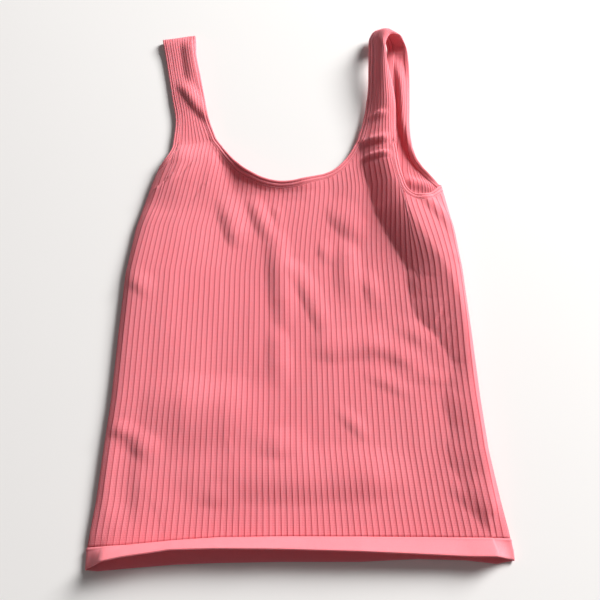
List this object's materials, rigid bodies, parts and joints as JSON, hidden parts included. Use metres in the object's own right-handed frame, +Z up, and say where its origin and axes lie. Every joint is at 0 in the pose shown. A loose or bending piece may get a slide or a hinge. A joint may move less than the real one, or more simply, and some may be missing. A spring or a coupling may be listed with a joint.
{
  "type": "ribbed tank top",
  "caption": "Sleeveless ribbed knit top laid flat, with a scooped neck, bound edges, a plain hem band and one strap standing in a loop.",
  "frame": {"origin": "middle of the box round the garment, on the surface that it lies on", "axes": "+Y from the hem to the neck, +X to the right seen from above, +Z up, out of the front"},
  "size_m": [0.3286, 0.5728, 0.0283],
  "materials": {
    "rib_knit": "matt ribbed knit",
    "binding": "matt knit, turned in and stitched",
    "plain_knit": "matt plain knit"
  },
  "bodies": {
    "root": {"front": "rib_knit", "back": "rib_knit", "hem_band": "plain_knit", "neck_binding": "binding", "armhole_binding_left": "binding", "armhole_binding_right": "binding"}
  },
  "joints": []
}
